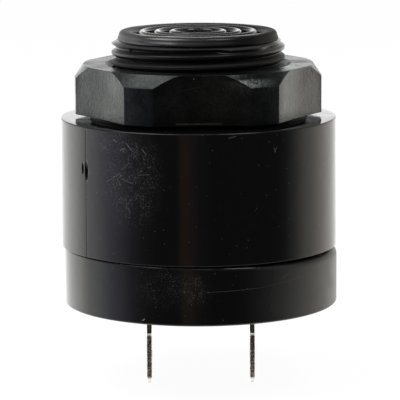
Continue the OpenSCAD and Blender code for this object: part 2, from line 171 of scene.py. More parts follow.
# ---- mesh making
def finish_mesh(name, verts, faces, body, node, slot):
    """Makes an object from points in millimetres, in place of a CAD node, and fixes it to a body."""
    mesh = bpy.data.meshes.new(name)
    mesh.from_pydata([Vector(v) * MM for v in verts], [], faces)
    mesh.validate()
    mesh.shade_smooth()
    obj = bpy.data.objects.new(name, mesh)
    scene.collection.objects.link(obj)
    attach(obj, body)
    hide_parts(node)
    return obj


def weld(verts, faces):
    """Joins points that coincide, and drops each side and face that this closes up."""
    places, order, kept = {}, [], []
    for vert in verts:
        place = tuple(round(c, 5) for c in vert)
        if place not in places:
            places[place] = len(kept)
            kept.append(vert)
        order.append(places[place])
    closed = []
    for face in faces:
        ring = [order[i] for i in face]
        ring = [point for i, point in enumerate(ring) if point != ring[i - 1]]
        if len(ring) > 2:
            closed.append(tuple(ring))
    return kept, closed


def turned(columns, closed_profile=True, centre=(0, 0)):
    """Points and faces of a body swept round Z.

    columns is a list of (angle, [(r, z), ...]); every profile has as many points.
    """
    count, size = len(columns), len(columns[0][1])
    verts = [
        (centre[0] + r * cos(angle), centre[1] + r * sin(angle), z)
        for angle, profile in columns
        for r, z in profile
    ]
    last = size if closed_profile else size - 1
    faces = []
    for i in range(count):
        j = (i + 1) % count
        for k in range(last):
            n = (k + 1) % size
            faces.append((i * size + k, j * size + k, j * size + n, i * size + n))
    return weld(verts, faces)


def round_corner(before, corner, after, radius, steps):
    """Arc points that round the corner of an outline."""
    a = (Vector(before) - Vector(corner)).normalized()
    b = (Vector(after) - Vector(corner)).normalized()
    half = a.angle(b) / 2
    centre = Vector(corner) + (a + b).normalized() * (radius / sin(half))
    start = Vector(corner) + a * (radius / math.tan(half)) - centre
    end = Vector(corner) + b * (radius / math.tan(half)) - centre
    arc = []
    for i in range(steps + 1):
        t = i / steps
        arc.append(tuple(centre + (start.lerp(end, t)).normalized() * radius))
    return arc


def rounded(points, radii, steps, closed=True):
    """Outline with each corner rounded by its own radius, 0 for a sharp one."""
    out = []
    count = len(points)
    for i, (point, radius) in enumerate(zip(points, radii)):
        if radius == 0 or (not closed and i in (0, count - 1)):
            out.append(point)
        else:
            out += round_corner(points[i - 1], point, points[(i + 1) % count], radius, steps)
    return out


def join_meshes(parts):
    """One list of points and faces from several."""
    verts, faces = [], []
    for part_verts, part_faces in parts:
        offset = len(verts)
        verts += part_verts
        faces += [tuple(i + offset for i in face) for face in part_faces]
    return verts, faces


def even_angles(count):
    """Angles of a full turn in equal steps."""
    return [2 * pi * i / count for i in range(count)]


def weighted_normals(obj):
    """Keeps large flat faces flat next to small rounded edges."""
    modifier = obj.modifiers.new("normals", "WEIGHTED_NORMAL")
    modifier.weight = 80
    modifier.keep_sharp = True


def soften(value):
    """Eases from 0 to 1, and stays there outside."""
    value = max(0.0, min(1.0, value))
    return value * value * (3 - 2 * value)


# ---- housing
def thread_height(angle, z):
    """How full the thread stands at a point of the neck: 0 at its root, 1 at its crest."""
    turn = (angle % (2 * pi)) / (2 * pi) - 0.5
    phase = (z - CREST_Z) / PITCH - turn
    from_crest = abs(phase - round(phase)) * 2
    flank = max(0.0, min(1.0, (1 - from_crest) / FLANK))
    return 0.8 * flank + 0.2 * soften(flank)  # mostly straight, a little rounded


def thread_fill(angle, z):
    """How far the topmost groove has filled: it runs out at the right side of the neck."""
    from_end = abs(math.degrees(angle) % 360 - RUN_OUT)
    return soften(1.5 - from_end / RUN_OUT_HALF) * soften((z - RUN_OUT_Z) / 0.5)


def from_parting(angle, radius, lines=PARTING):
    """Arc length from the nearest of the parting lines."""
    offsets = [((angle - line + pi) % (2 * pi) - pi) * radius for line in lines]
    return min(offsets, key=abs)


def neck_radius(angle, z):
    """Radius of the threaded neck, with the slanted web of flash that crosses its grooves at a parting."""
    root = THREAD_R - THREAD_DEPTH
    height = thread_height(angle, z)
    if height < RUN_OUT_FILL:
        height += (RUN_OUT_FILL - height) * thread_fill(angle, z)
    height *= soften((z - THREAD_FOOT) / 0.5)
    blank = THREAD_R - max(0.0, z - THREAD_TOP) * BLANK_SLOPE
    second_half = (angle - PARTING[0]) % (2 * pi) > pi
    from_web = abs(from_parting(angle, THREAD_R) + WEB_SLANT * (z - WEB_Z))
    web = WEB_HEIGHT * soften(1 - from_web / WEB_HALF)
    radius = min(max(root + THREAD_DEPTH * height, root + web), blank)
    return radius - MOULD_STEP if second_half else radius


def wall_dent(angle, z):
    """Fine groove of the parting line, and the gate mark: a long dent with a short one beside it."""
    from_line = abs(from_parting(angle, BODY_R, WALL_PARTING))
    dent = PARTING_DEPTH * soften(1 - from_line / PARTING_HALF)
    arc = from_parting(angle, BODY_R, WALL_PARTING[:1])
    for middle, drop, half_width, half_height, depth in GATE_DENTS:
        out = math.hypot((arc - middle) / half_width, (z - GATE_Z + drop) / half_height)
        dent = max(dent, depth * soften((1 - out) / 0.75))
    return dent


def to_right(angle):
    """0 at the left side of the body, 1 at its right side."""
    return (1 + cos(angle)) / 2


def wall_heights():
    """Heights of the side wall's rows, close together at the gate mark."""
    fine = [GATE_Z - 1.8 + 0.12 * i for i in range(31)]
    coarse = [BODY_BOTTOM + 0.6 + i * (fine[0] - BODY_BOTTOM - 0.9) / 5 for i in range(6)]
    return coarse + fine + [-3.4, -1.8, -0.6]


def rim_profile():
    """The rim's section from its foot to its bore: a waist, a tight outer edge, a rounded inside."""
    waist = [
        (-0.10, 1.66), (0.05, 1.58), (0.16, 1.46), (0.20, 1.34), (0.18, 1.20), (0.12, 1.02), (0.05, 0.84),
    ]
    points = [(RIM_R + out, NECK_TOP - below) for out, below in waist]
    arcs = ((RIM_EDGE, RIM_R - RIM_EDGE, 0), (RIM_INSIDE, RIM_R - RIM_WIDTH + RIM_INSIDE, 90))
    for radius, middle, start in arcs:
        for i in range(7):
            turn = radians(start + 15 * i)
            points.append((middle + radius * cos(turn), NECK_TOP - radius + radius * sin(turn)))
    return points


def housing_angles():
    """Azimuths of the housing's columns, close together at the parting lines and the gate mark."""
    angles = set(even_angles(240))
    for parting in PARTING + WALL_PARTING:
        for step in (-0.40, -0.20, -0.13, -0.07, 0.0, 0.07, 0.13, 0.20, 0.40):
            angles.add(parting + step / BODY_R)
    angles |= {WALL_PARTING[0] + (0.1 * i - 1.25) / BODY_R for i in range(20)}
    return sorted(angles)


def housing_columns():
    """The housing's section at each azimuth: side wall, shoulder, threaded neck, rim, and the inside."""
    rows = int((RIM_FOOT - 0.1) / THREAD_ROW)
    thread_z = [0.1 + i * (RIM_FOOT - 0.1) / rows for i in range(rows + 1)]
    rim = rim_profile()
    bore = RIM_R - RIM_WIDTH
    shoulder_r = BODY_R - BODY_DRAFT
    straight = [(shoulder_r + BODY_DRAFT / BODY_BOTTOM * z, z) for z in wall_heights()]
    inner = [(bore, 0), (bore, ROOF), (BODY_IN_R, ROOF)]
    side = rounded(
        [(BODY_IN_R, BODY_BOTTOM), (BODY_R, BODY_BOTTOM), (shoulder_r, 0), (THREAD_R, 0)],
        [0, 0.09, 0.2, 0], 5, closed=False,
    )
    # the straight wall's rows go in between the arcs of its two edges, and the neck has its own foot
    side = side[:7] + straight + side[7:-1]
    shoulder = [(r, 0.0) for r in SHOULDER_ROWS]
    columns = []
    for angle in housing_angles():
        wall = [(r - (wall_dent(angle, z) if z < -0.3 and r > BASE_R else 0), z) for r, z in side]
        neck = [(THREAD_R - THREAD_DEPTH, 0.0)] + [(neck_radius(angle, z), z) for z in thread_z]
        columns.append((angle, wall + shoulder + neck + rim + inner))
    return columns


def rib(centre_r):
    """One round rib of the grille, with a full-round top."""
    bottom = NECK_TOP - GRILLE_H
    profile = [(centre_r + RIB_HALF, bottom)]
    for i in range(11):
        turn = pi * i / 10
        profile.append((centre_r + RIB_HALF * cos(turn), NECK_TOP - RIB_HALF + RIB_HALF * sin(turn)))
    profile.append((centre_r - RIB_HALF, bottom))
    return turned([(a, profile) for a in even_angles(128)])


def boss():
    """Round boss in the middle of the grille."""
    top = NECK_TOP - BOSS_SUNK
    profile = [(0.0, NECK_TOP - GRILLE_H), (BOSS_R, NECK_TOP - GRILLE_H)]
    for i in range(7):
        turn = pi / 2 * i / 6
        profile.append((BOSS_R - BOSS_EDGE + BOSS_EDGE * cos(turn), top - BOSS_EDGE + BOSS_EDGE * sin(turn)))
    profile.append((0.0, top))
    return turned([(a, profile) for a in even_angles(48)], closed_profile=False)


def bar(start, end, width, low, high):
    """A straight square bar from one point to another, on the flat."""
    along = (Vector(end) - Vector(start)).normalized()
    across = Vector((-along.y, along.x)) * (width / 2)
    corners = [Vector(start) - across, Vector(end) - across, Vector(end) + across, Vector(start) + across]
    verts = [(c.x, c.y, z) for z in (low, high) for c in corners]
    faces = [(3, 2, 1, 0), (4, 5, 6, 7), (0, 1, 5, 4), (1, 2, 6, 5), (2, 3, 7, 6), (3, 0, 4, 7)]
    return verts, faces


def make_housing():
    """Housing with its neck, rim and grille."""
    parts = [turned(housing_columns())]
    parts += [rib(r) for r in RIB_RADII]
    parts.append(boss())
    for i in range(4):
        turn = radians(45 + 90 * i)
        out = Vector((cos(turn), sin(turn)))
        parts.append(bar(out * BAR_FROM, out * BAR_TO, BAR_WIDTH, NECK_TOP - GRILLE_H, NECK_TOP - BAR_SUNK))
    return finish_mesh("housing_shell", *join_meshes(parts), "alarm", "housing", "housing_plastic")


# ---- nut
def nut_side(turn):
    """Radius of the nut's side and of its top edge, and the bevel's lower height."""
    sector = (turn + pi / 6) % (pi / 3) - pi / 6
    across = math.tan(sector) / math.tan(math.acos(NUT_FLAT / NUT_CORNER))
    sink = NUT_SINK * max(0.0, 1 - across * across)
    side = min((NUT_FLAT - sink) / cos(sector), NUT_CORNER)
    top = min(side, NUT_TOP_R)
    slope = (NUT_CORNER - NUT_TOP_R) / NUT_BEVEL_H
    return side, top, nut_high.z - (side - top) / slope


def nut_bore(angle, z):
    """The nut's thread, cut outwards from its bore."""
    return NUT_BORE + NUT_GROOVE * thread_height(angle, z)


def nut_turns():
    """Azimuths of the nut's columns, seen from its own first flat."""
    corner = math.acos(NUT_FLAT / NUT_CORNER)
    bevel_start = math.acos(NUT_FLAT / NUT_TOP_R)
    turns = set()
    for sector in range(6):
        middle = sector * pi / 3
        steps = [-corner * k / 10 for k in range(10, 0, -1)] + [-bevel_start, 0]
        steps += [-s for s in steps[:-1]]
        steps += [corner + (pi / 3 - 2 * corner) * i / 6 for i in range(1, 6)]
        turns |= {round(middle + s, 6) for s in steps}
    return sorted(turns)


def make_nut():
    """Hexagonal nut with turned corners, a bevelled top, a threaded bore and fine rounded edges."""
    low, high = nut_low.z, nut_high.z
    mouth = NUT_BORE + NUT_MOUTH
    rows = 60
    bore_z = [high - NUT_MOUTH_H - (high - low - 2 * NUT_MOUTH_H) * i / rows for i in range(rows + 1)]
    columns = []
    for turn in nut_turns():
        side, top, bevel_z = nut_side(turn)
        angle = turn + pi / 2 + NUT_TURN
        profile = [(mouth, low), (side, low), (side, bevel_z), (top, high), (mouth, high)]
        profile += [(nut_bore(angle, z), z) for z in bore_z]
        columns.append((angle, profile))
    obj = finish_mesh("hex_nut_shell", *turned(columns), "nut", "hex_nut", "nut_plastic")
    merge = obj.modifiers.new("weld", "WELD")
    merge.merge_threshold = 0.002 * MM
    bevel = obj.modifiers.new("edges", "BEVEL")
    bevel.width = NUT_EDGE * MM
    bevel.segments = 3
    bevel.limit_method = "ANGLE"
    bevel.angle_limit = radians(18)
    bevel.use_clamp_overlap = True
    weighted_normals(obj)
    return obj


# ---- gasket
def make_gasket():
    """Sealing ring, pressed round at its top edge."""
    outer = gasket_high.x
    low, high = gasket_low.z, gasket_high.z
    outline = [
        (GASKET_BORE, low), (outer, low), (outer, high - 0.2), (outer - 0.34, high), (GASKET_BORE, high),
    ]
    profile = rounded(outline, [0, 0.06, 0.16, 0.2, 0], 4)
    mesh = turned([(a, profile) for a in even_angles(144)])
    return finish_mesh("gasket_ring", *mesh, "alarm", "panel_gasket", "gasket_rubber")


# ---- base cap
def post(turn, floor_top):
    """Round post under the circuit board, with a small foot radius."""
    top = board_low.z
    reach = board_high.x - BASE_X - POST_R
    centre = (BASE_X + reach * cos(turn), reach * sin(turn))
    profile = [
        (0.0, floor_top - 0.02), (POST_R + 0.3, floor_top - 0.02), (POST_R + 0.09, floor_top + 0.09),
        (POST_R, floor_top + 0.3), (POST_R, top - 0.15), (POST_R - 0.15, top), (0.0, top),
    ]
    return turned([(a, profile) for a in even_angles(32)], closed_profile=False, centre=centre)


def make_base():
    """Base cap, whose upper edge is rounder and whose seam stands open at its right side."""
    top, bottom = BASE_SEAM, BASE_BOTTOM
    spigot_top = base_high.z
    spigot_r = BODY_IN_R - SPIGOT_GAP
    spigot_in = spigot_r - SPIGOT_WALL
    floor_top = bottom + BASE_FLOOR
    outline = [
        (0.0, bottom), (BASE_R, bottom), (BASE_R, top), (spigot_r, top),
        (spigot_r, spigot_top), (spigot_in, spigot_top), (spigot_in, floor_top), (0.0, floor_top),
    ]
    columns = []
    for angle in even_angles(240):
        lip = 0.3 + to_right(angle) ** 2  # rounding of the wall's upper edge
        radii = [0, 0.32, lip, 0, 0.2, 0.2, 0.3, 0]
        drop = SEAM_OPEN * soften((to_right(angle) - 0.62) / 0.24)
        outline[2], outline[3] = (BASE_R, top - drop), (spigot_r, top - drop)
        columns.append((angle, rounded(outline, radii, 6, closed=False)))
    parts = [turned(columns, closed_profile=False, centre=(BASE_X, 0))]
    parts += [post(radians(45 + 90 * i), floor_top) for i in range(4)]
    return finish_mesh("base_shell", *join_meshes(parts), "alarm", "base_cap", "base_plastic")


# ---- terminals
def make_terminal(name, node):
    """A stamped tab: stem, shouldered blade with bevelled tip, and a latch hole."""
    low, high = box_mm(node)
    x = (low.x + high.x) / 2
    half_t = (high.x - low.x) / 2
    blade, tip = high.y, low.z
    blade_top = tip + BLADE_TOP
    stem_top = BASE_BOTTOM + BASE_FLOOR + STEM_REACH
    right = [
        (PIN_HALF, high.z), (PIN_HALF, stem_top), (STEM_HALF, stem_top), (STEM_HALF, blade_top),
        (blade + STOP_OUT, blade_top), (blade + STOP_OUT, blade_top - STOP_FLAT),
        (blade, blade_top - STOP_FLAT - STOP_SLOPE), (blade, tip + TIP_BEVEL), (blade - TIP_BEVEL, tip),
    ]
    outline = right + [(-y, z) for y, z in reversed(right)]
    hole = [(LATCH_R * cos(a), tip + LATCH_Z + LATCH_R * sin(a)) for a in even_angles(24)]
    curve = bpy.data.curves.new(name, "CURVE")
    curve.dimensions = "2D"
    curve.fill_mode = "BOTH"
    curve.extrude = (half_t - TAB_EDGE) * MM
    curve.bevel_depth = TAB_EDGE * MM
    curve.bevel_resolution = 3
    curve.offset = -TAB_EDGE * MM
    for points in (outline, hole):
        spline = curve.splines.new("POLY")
        spline.points.add(len(points) - 1)
        for target, (y, z) in zip(spline.points, points):
            target.co = (y * MM, z * MM, 0, 1)
        spline.use_cyclic_u = True
    flat = bpy.data.objects.new(name + "_outline", curve)
    scene.collection.objects.link(flat)
    mesh = bpy.data.meshes.new_from_object(flat.evaluated_get(bpy.context.evaluated_depsgraph_get()))
    bpy.data.objects.remove(flat)
    # the outline's plane turns to face X, and the tip thins towards its end
    for vertex in mesh.vertices:
        y, z, across = vertex.co
        thin = max(0.0, 1 - (z / MM - tip) / TIP_THIN_H) * TIP_THIN / half_t
        vertex.co = (x * MM + across * (1 - thin), y, z)
    obj = bpy.data.objects.new(name, mesh)
    scene.collection.objects.link(obj)
    weighted_normals(obj)
    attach(obj, "alarm")
    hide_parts(node)
    return obj


# ---- materials
def add_node(tree, kind, inputs, **settings):
    """A node with its settings, and with each input linked or set to a value."""
    node = tree.nodes.new(kind)
    for key, value in settings.items():
        setattr(node, key, value)
    for key, value in inputs.items():
        if isinstance(value, bpy.types.NodeSocket):
            tree.links.new(value, node.inputs[key])
        else:
            node.inputs[key].default_value = value
    return node


def maths(tree, operation, *values):
    """Result of a sum on sockets and numbers."""
    return add_node(tree, "ShaderNodeMath", dict(enumerate(values)), operation=operation).outputs[0]


def plus(tree, a, b):
    return maths(tree, "ADD", a, b)


def minus(tree, a, b):
    return maths(tree, "SUBTRACT", a, b)


def times(tree, a, b):
    return maths(tree, "MULTIPLY", a, b)


def vector_maths(tree, operation, *values):
    """Result of a sum on vectors."""
    return add_node(tree, "ShaderNodeVectorMath", dict(enumerate(values)), operation=operation).outputs[0]


def vector_length(tree, vector):
    return add_node(tree, "ShaderNodeVectorMath", {0: vector}, operation="LENGTH").outputs["Value"]


def split(tree, vector):
    """The three parts of a vector."""
    return add_node(tree, "ShaderNodeSeparateXYZ", {0: vector}).outputs


def map_range(tree, value, low, high, to_low=0.0, to_high=1.0):
    """Eases from one value to another between two places, and stays there outside."""
    inputs = {"Value": value, "From Min": low, "From Max": high, "To Min": to_low, "To Max": to_high}
    node = add_node(tree, "ShaderNodeMapRange", inputs, interpolation_type="SMOOTHSTEP")
    return node.outputs["Result"]


def mix_colour(tree, factor, a, b):
    """Colour a where the factor is 0, b where it is 1. Sockets 6, 7 and 2 are the mix node's colours."""
    return add_node(tree, "ShaderNodeMix", {0: factor, 6: a, 7: b}, data_type="RGBA").outputs[2]


def new_material(name):
    """A material, its node tree and its shader."""
    material = bpy.data.materials.new(name)
    material.use_nodes = True
    return material, material.node_tree, material.node_tree.nodes["Principled BSDF"]


def add_bump(tree, shader, height, depth_mm):
    """Raises the surface by depth_mm where the height is 1."""
    inputs = {"Height": height, "Distance": depth_mm * MM, "Strength": 1.0}
    tree.links.new(add_node(tree, "ShaderNodeBump", inputs).outputs[0], shader.inputs["Normal"])


def place_mm(tree):
    """The surface point in millimetres."""
    place = tree.nodes.new("ShaderNodeTexCoord").outputs["Object"]
    inputs = {0: place, "Scale": 1 / MM}
    return add_node(tree, "ShaderNodeVectorMath", inputs, operation="SCALE").outputs[0]


def unrolled(tree, place, radius):
    """Side wall laid flat: arc length from the front, and height."""
    parts = split(tree, place)
    turn = maths(tree, "ARCTAN2", parts[0], times(tree, parts[1], -1.0))
    arc = times(tree, turn, radius)
    return add_node(tree, "ShaderNodeCombineXYZ", {0: arc, 1: parts[2]}).outputs[0]


def noise(tree, place, scale, detail=3.0, roughness=0.55, distortion=0.0):
    """Cloudy noise, with scale clouds to a millimetre."""
    inputs = {
        "Vector": place, "Scale": scale, "Detail": detail, "Roughness": roughness, "Distortion": distortion,
    }
    return add_node(tree, "ShaderNodeTexNoise", inputs).outputs["Fac"]


def random_cells(tree, place, cells, offset, randomness, space):
    """One random point to a cell: the moved place, the cell's outputs, and its three random numbers."""
    moved = vector_maths(tree, "ADD", place, (offset, offset * 0.7, 0))
    inputs = {"Vector": moved, "Scale": cells, "Randomness": randomness}
    cell = add_node(tree, "ShaderNodeTexVoronoi", inputs, voronoi_dimensions=space).outputs
    chance = add_node(tree, "ShaderNodeSeparateColor", {0: cell["Color"]}).outputs
    return moved, cell, chance


def mark_axes(tree, local, angle):
    """A place's parts along and across a mark that lies at an angle."""
    inputs = {"Vector": local, "Angle": angle}
    return split(tree, add_node(tree, "ShaderNodeVectorRotate", inputs, rotation_type="Z_AXIS").outputs[0])


def strokes(tree, flat, cells, length, width, keep, offset):
    """Short straight marks, each at its own angle, in a share of the cells. 1 on a mark."""
    moved, cell, chance = random_cells(tree, flat, cells, offset, 0.8, "2D")
    local = vector_maths(tree, "SUBTRACT", moved, cell["Position"])
    parts = mark_axes(tree, local, times(tree, chance[0], 2 * pi))
    half = times(tree, chance[1], length / 2)
    along = minus(tree, maths(tree, "ABSOLUTE", parts[0]), half)
    across = maths(tree, "ABSOLUTE", parts[1])
    inside = map_range(tree, along, width, 0.0)
    thin = map_range(tree, across, width, width * 0.3)
    chosen = times(tree, maths(tree, "LESS_THAN", chance[2], keep), chance[1])
    return times(tree, times(tree, inside, thin), chosen)


def one_stroke(tree, flat, start, end, width):
    """One straight mark between two points of the unrolled wall."""
    along = Vector(end) - Vector(start)
    half = along.length / 2
    middle = (Vector(start) + Vector(end)) / 2
    local = vector_maths(tree, "SUBTRACT", flat, (middle.x, middle.y, 0))
    parts = mark_axes(tree, local, -math.atan2(along.y, along.x))
    inside = map_range(tree, maths(tree, "ABSOLUTE", parts[0]), half + width, half - width)
    thin = map_range(tree, maths(tree, "ABSOLUTE", parts[1]), width, width * 0.3)
    return times(tree, inside, thin)


def spot_mask(tree, place, centre, size):
    """Soft patch round a point, 1 in its middle."""
    local = vector_maths(tree, "DIVIDE", vector_maths(tree, "SUBTRACT", place, centre), size)
    return map_range(tree, vector_length(tree, local), 1.0, 0.3)


def blend(tree, factor, a, b):
    """a where the factor is 0, b where it is 1."""
    kept = times(tree, minus(tree, 1.0, factor), a)
    return maths(tree, "MULTIPLY_ADD", factor, b, kept)


def strongest(tree, masks):
    """The highest of several masks."""
    total = masks[0]
    for mask in masks[1:]:
        total = maths(tree, "MAXIMUM", total, mask)
    return total


def specks(tree, place, cells, size, keep, offset, space="2D"):
    """Tiny round specks in a share of the cells. 1 in the middle of a speck."""
    cell, chance = random_cells(tree, place, cells, offset, 1.0, space)[1:]
    near = map_range(tree, cell["Distance"], size * cells, size * cells * 0.3)
    chosen = maths(tree, "LESS_THAN", chance[2], keep)
    faint = maths(tree, "MULTIPLY_ADD", chance[0], 0.8, 0.2)
    return times(tree, times(tree, near, chosen), faint)


def scratches(tree, flat, cells, length, width, keep, offset):
    """Hair scratches of uneven strength, slightly bent."""
    inputs = {"Vector": flat, "Scale": 0.7, "Detail": 1.0}
    bend = add_node(tree, "ShaderNodeTexNoise", inputs).outputs["Color"]
    bent = vector_maths(tree, "MULTIPLY_ADD", bend, (0.7, 0.7, 0), flat)
    return strokes(tree, bent, cells, length, width, keep, offset)


def wear_mask(tree, place, radius, on_wall, side_haze, marks, worn_patches):
    """Scratches, dust and haze on a side wall, 1 where they are palest."""
    flat = unrolled(tree, place, radius)
    cloud = map_range(tree, noise(tree, place, 0.55, roughness=0.6), 0.42, 0.62)
    worn = strongest(tree, [
        times(tree, spot_mask(tree, flat, (*centre, 0), (*size, 1)), strength)
        for centre, size, strength in worn_patches
    ])
    worn = times(tree, worn, on_wall)
    worn = times(tree, worn, maths(tree, "MULTIPLY_ADD", cloud, 0.65, 0.35))
    hairs = scratches(tree, flat, cells=0.9, length=1.2, width=0.03, keep=0.3, offset=0.0)
    short = scratches(tree, flat, cells=1.9, length=0.4, width=0.035, keep=0.35, offset=3.7)
    dust = specks(tree, flat, cells=1.7, size=0.085, keep=0.5, offset=9.1)
    grit = specks(tree, flat, cells=3.4, size=0.06, keep=0.4, offset=4.3)
    fine = strongest(tree, [times(tree, hairs, 0.75), times(tree, short, 0.8), dust, grit])
    fine = times(tree, fine, worn)
    haze = maths(tree, "MAXIMUM", times(tree, worn, 0.035), side_haze)
    stray = times(tree, specks(tree, flat, cells=0.55, size=0.08, keep=0.3, offset=6.6), 0.5)
    named = [
        times(tree, one_stroke(tree, flat, start, end, width), strength)
        for start, end, width, strength in marks
    ]
    return strongest(tree, [fine, haze, stray] + named)


def wall_plastic(name, marks, worn_patches, radius, dull_side=0.0, tint=(1, 1, 1, 1)):
    """Smooth black moulding: a dusty, finely scratched patch, and slow ripples in its gloss.

    The threaded neck is duller than the wall, and its bore and the grille are less so. Its lower turns
    get a little painted shade, and the rim a painted reflection, stronger at its left end than at its
    right one. dull_side is how much rougher the wall gets towards its right side.
    """
    material, tree, shader = new_material(name)
    place = place_mm(tree)
    parts = split(tree, place)
    x, z = parts[0], parts[2]
    right_side = map_range(tree, x, radius * 0.25, radius * 0.7)
    on_neck = map_range(tree, z, 0.2, 0.8)
    low_neck = times(tree, on_neck, map_range(tree, z, 11.3, 9.2))
    on_rim = map_range(tree, z, RIM_FOOT, RIM_FOOT + 0.3)
    rim_ends = times(tree, on_rim, map_range(tree, maths(tree, "ABSOLUTE", x), 8.5, 11.0))
    bore, bore_gloss = RIM_R - RIM_WIDTH, 0.12
    from_axis = vector_length(tree, vector_maths(tree, "MULTIPLY", place, (1, 1, 0)))
    in_grille = map_range(tree, from_axis, bore + 0.8, bore, 0.0, bore_gloss)

    on_wall = map_range(tree, z, -0.02, -0.2)
    side_haze = times(tree, right_side, dull_side * 0.3)
    mask = wear_mask(tree, place, radius, on_wall, side_haze, marks, worn_patches)
    mottle = noise(tree, place, 0.8, detail=4.0)
    black = mix_colour(tree, mottle, (0.0060, 0.0059, 0.0061, 1), (0.0092, 0.0089, 0.0089, 1))
    colour = mix_colour(tree, mask, black, (0.34, 0.335, 0.33, 1))
    tree.links.new(colour, shader.inputs["Base Color"])

    smudge = map_range(tree, noise(tree, place, 0.22, detail=4.0, roughness=0.6), 0.35, 0.7, 0.06, 0.13)
    rough = maths(tree, "MAXIMUM", smudge, times(tree, mask, 0.5))
    rough = maths(tree, "MULTIPLY_ADD", right_side, dull_side, rough)
    neck_rough = minus(tree, map_range(tree, z, 0.2, 0.8, 0.0, 0.27), in_grille)
    neck_rough = plus(tree, neck_rough, times(tree, maths(tree, "MAXIMUM", low_neck, rim_ends), 0.3))
    tree.links.new(maths(tree, "MAXIMUM", rough, neck_rough), shader.inputs["Roughness"])

    # painted shade: the thread's lower turns reflect a little less; painted reflection: the rim reflects
    # more at its left end than at its right one
    level = maths(tree, "MULTIPLY_ADD", low_neck, -0.08, 0.5)
    level = blend(tree, on_rim, level, map_range(tree, x, -10.0, 10.0, 1.5, 0.2))
    tree.links.new(level, shader.inputs["Specular IOR Level"])
    shader.inputs["Specular Tint"].default_value = tint
    shader.inputs["IOR"].default_value = 1.5

    ripple = times(tree, noise(tree, place, 0.16, detail=2.0), 0.05)
    grain_depth = map_range(tree, in_grille, 0.0, bore_gloss, 0.0016, 0.0003)
    grain = times(tree, noise(tree, place, 9.0), grain_depth)
    height = minus(tree, plus(tree, ripple, grain), times(tree, mask, 0.004))
    add_bump(tree, shader, height, 1.0)
    return material


def nut_marks_and_highlight(tree, place, parts, pits):
    """Pale specks all over the nut, and a hair, a painted highlight along the foot and a spot on its front
    face.
    """
    front = add_node(tree, "ShaderNodeCombineXYZ", {0: parts[0], 1: parts[2]}).outputs[0]
    facing = maths(tree, "LESS_THAN", parts[1], 0.0)
    hair = times(tree, one_stroke(tree, front, (-3.6, 5.9), (1.3, 6.8), 0.05), 0.05)
    # painted highlight: a bright line along the foot of the front face
    foot_highlight = times(tree, one_stroke(tree, front, (-3.4, 1.0), (3.6, 1.0), 0.16), pits)
    spot = one_stroke(tree, front, (-0.7, 7.9), (-0.62, 7.9), 0.1)
    named = times(tree, strongest(tree, [hair, times(tree, foot_highlight, 0.3), spot]), facing)
    dust = specks(tree, place, cells=1.5, size=0.11, keep=0.10, offset=0.0, space="3D")
    return strongest(tree, [times(tree, dust, 0.3), named])


def nut_level(tree, place, parts, corner, grain, drift):
    """How much the nut reflects at each place, with painted highlights and painted shade by side."""
    x, z, top = parts[0], parts[2], nut_high.z
    level = map_range(tree, drift, 0.35, 0.65, 0.4, 0.6)
    level = plus(tree, level, map_range(tree, grain, 0.3, 0.7, -0.10, 0.10))
    # the turned corners below the bevel are duller, and the face beyond the right crease gets a painted
    # highlight
    corner_wall = times(tree, corner, map_range(tree, z, top - 1.6, top - 2.0))
    bevel = minus(tree, corner, corner_wall)
    crease_highlight = map_range(tree, x, 12.5, 13.5, 0.0, 0.60)
    level = plus(tree, level, times(tree, crease_highlight, minus(tree, 1.0, bevel)))
    level = times(tree, level, maths(tree, "MULTIPLY_ADD", corner_wall, -0.42, 1.0))
    # painted shade: the right end of the bevel, and the far ends of the nut, fall off into the dark
    bevel_end_shade = map_range(tree, x, 10.6, 12.2, 0.0, 0.34)
    level = minus(tree, level, times(tree, bevel_end_shade, bevel))
    below_top = map_range(tree, z, top - 0.05, top - 0.3)
    level = minus(tree, level, times(tree, map_range(tree, x, 13.6, 16.5, 0.0, 0.62), below_top))
    level = minus(tree, level, map_range(tree, x, -13.5, -17.5, -0.04, 0.08))
    # a rubbed, mottled patch on the front right with painted light: painted shade broken up on the bevel,
    # painted glints flecked on the face
    mottle = map_range(tree, noise(tree, place, 1.1, detail=4.0, roughness=0.7), 0.42, 0.62, 0.3, 0.05)
    glint_flecks = map_range(tree, noise(tree, place, 2.4, roughness=0.7), 0.4, 0.6, 1.4, 3.4)
    rubbed_and_painted_light = blend(tree, map_range(tree, z, top - 0.6, top - 1.1), mottle, glint_flecks)
    shade_and_glint_patch = spot_mask(tree, place, (8.0, -16.5, top - 1.0), (5.6, 6.5, 2.6))
    return maths(tree, "MAXIMUM", times(tree, level, blend(tree, shade_and_glint_patch, 1.0, rubbed_and_painted_light)), 0.08)


